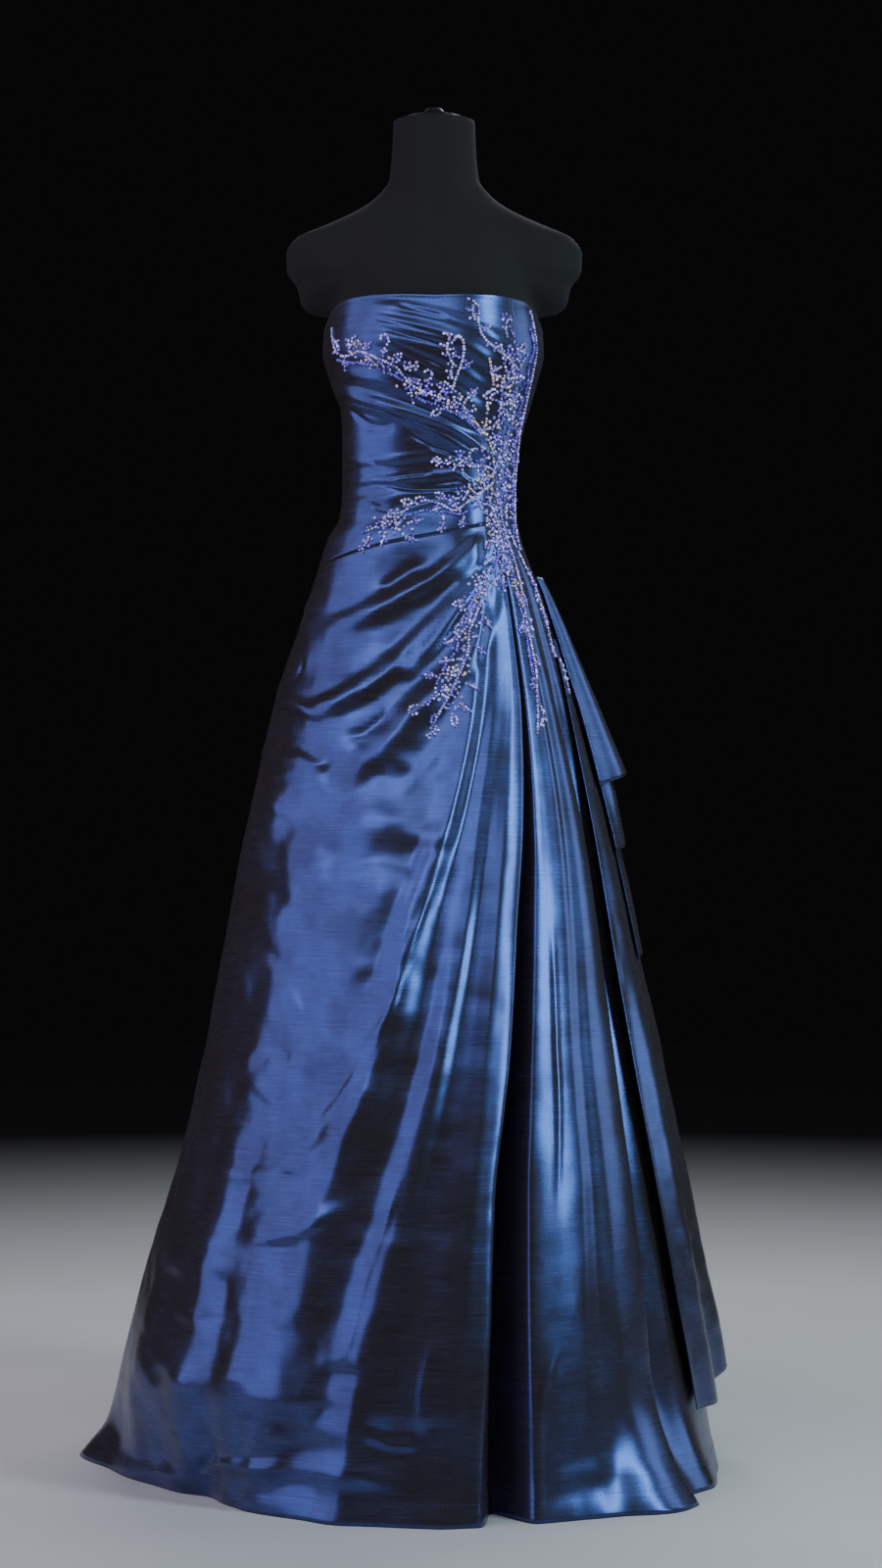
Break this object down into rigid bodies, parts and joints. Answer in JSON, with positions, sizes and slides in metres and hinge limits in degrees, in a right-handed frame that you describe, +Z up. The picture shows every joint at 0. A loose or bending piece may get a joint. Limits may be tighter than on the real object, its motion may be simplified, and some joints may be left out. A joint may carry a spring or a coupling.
{
  "type": "evening gown on dress form",
  "caption": "Strapless floor-length evening gown with a crossed draped bodice, fanned skirt pleats, a hip cascade and beaded sprays, standing on a limbless dress form.",
  "frame": {"origin": "middle of the underside of the stand's round base, on the floor, on the form's axis", "axes": "+Z up; the gown's front faces -Y; +X to the right of someone facing its front"},
  "size_m": [0.7967, 0.888, 1.657],
  "materials": {
    "taffeta": "crisp shot taffeta, near black in its shadows and steel blue in its sheen",
    "form_cover": "smooth black jersey",
    "stand_metal": "satin black",
    "zip_metal": "satin"
  },
  "bodies": {
    "gown_on_form": {"bodice_bust": "taffeta", "bodice_midriff": "taffeta", "bodice_side_right": "taffeta", "bodice_back_right": "taffeta", "bodice_back_left": "taffeta", "skirt_front_drape": "taffeta", "skirt_front_right": "taffeta", "skirt_back_right": "taffeta", "skirt_back_left": "taffeta", "cascade_tier_1": "taffeta", "cascade_tier_2": "taffeta", "cascade_tier_3": "taffeta", "cascade_tier_4": "taffeta", "dress_form": "form_cover", "neck_cap": "stand_metal", "stand_pole": "stand_metal", "stand_base": "stand_metal", "zip_slider": "zip_metal", "zip_pin": "zip_metal"},
    "zip_pull": {"zip_pull": "zip_metal"}
  },
  "joints": [
    {"name": "zip_pull_swing", "type": "hinge", "parent": "gown_on_form", "child": "zip_pull", "pos_m": [0, 0.09897, 1.349], "axis": [1, 0, 0], "range_deg": [0, 160]}
  ]
}
